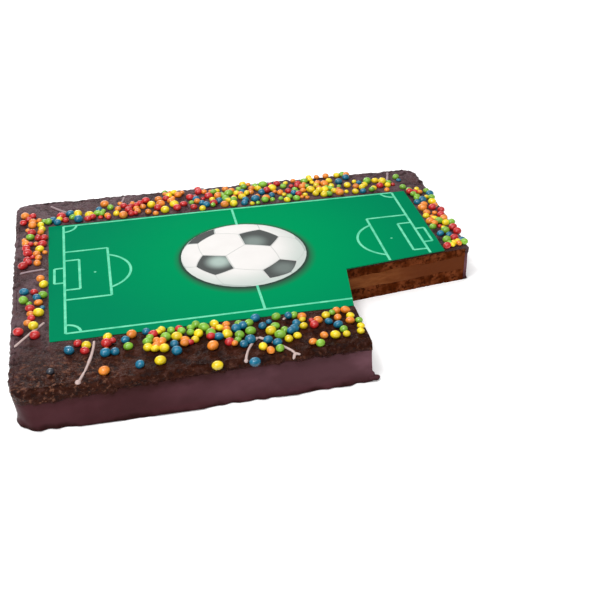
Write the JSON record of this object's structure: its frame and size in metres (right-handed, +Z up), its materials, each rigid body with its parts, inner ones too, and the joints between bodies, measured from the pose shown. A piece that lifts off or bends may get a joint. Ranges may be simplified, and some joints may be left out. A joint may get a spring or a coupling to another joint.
{
  "type": "decorated sheet cake",
  "caption": "Rectangular layered sheet cake with one corner cut away, a chocolate coat, a printed sugar sheet on top and candies along the rim.",
  "frame": {"origin": "on the base, under the middle of the cake's outline", "axes": "+X along the cake's long side to the right, +Y from the front to the back, +Z up"},
  "size_m": [0.3875, 0.3019, 0.0398],
  "materials": {
    "sponge": "matte open crumb",
    "cream": "soft matte cream",
    "coat": "satin chocolate with glossy candies",
    "sugar_sheet": "satin printed sugar"
  },
  "bodies": {
    "root": {"sponge_bottom": "sponge", "cream_filling": "cream", "sponge_top": "sponge", "chocolate_coat": "coat", "sugar_sheet": "sugar_sheet"}
  },
  "joints": []
}
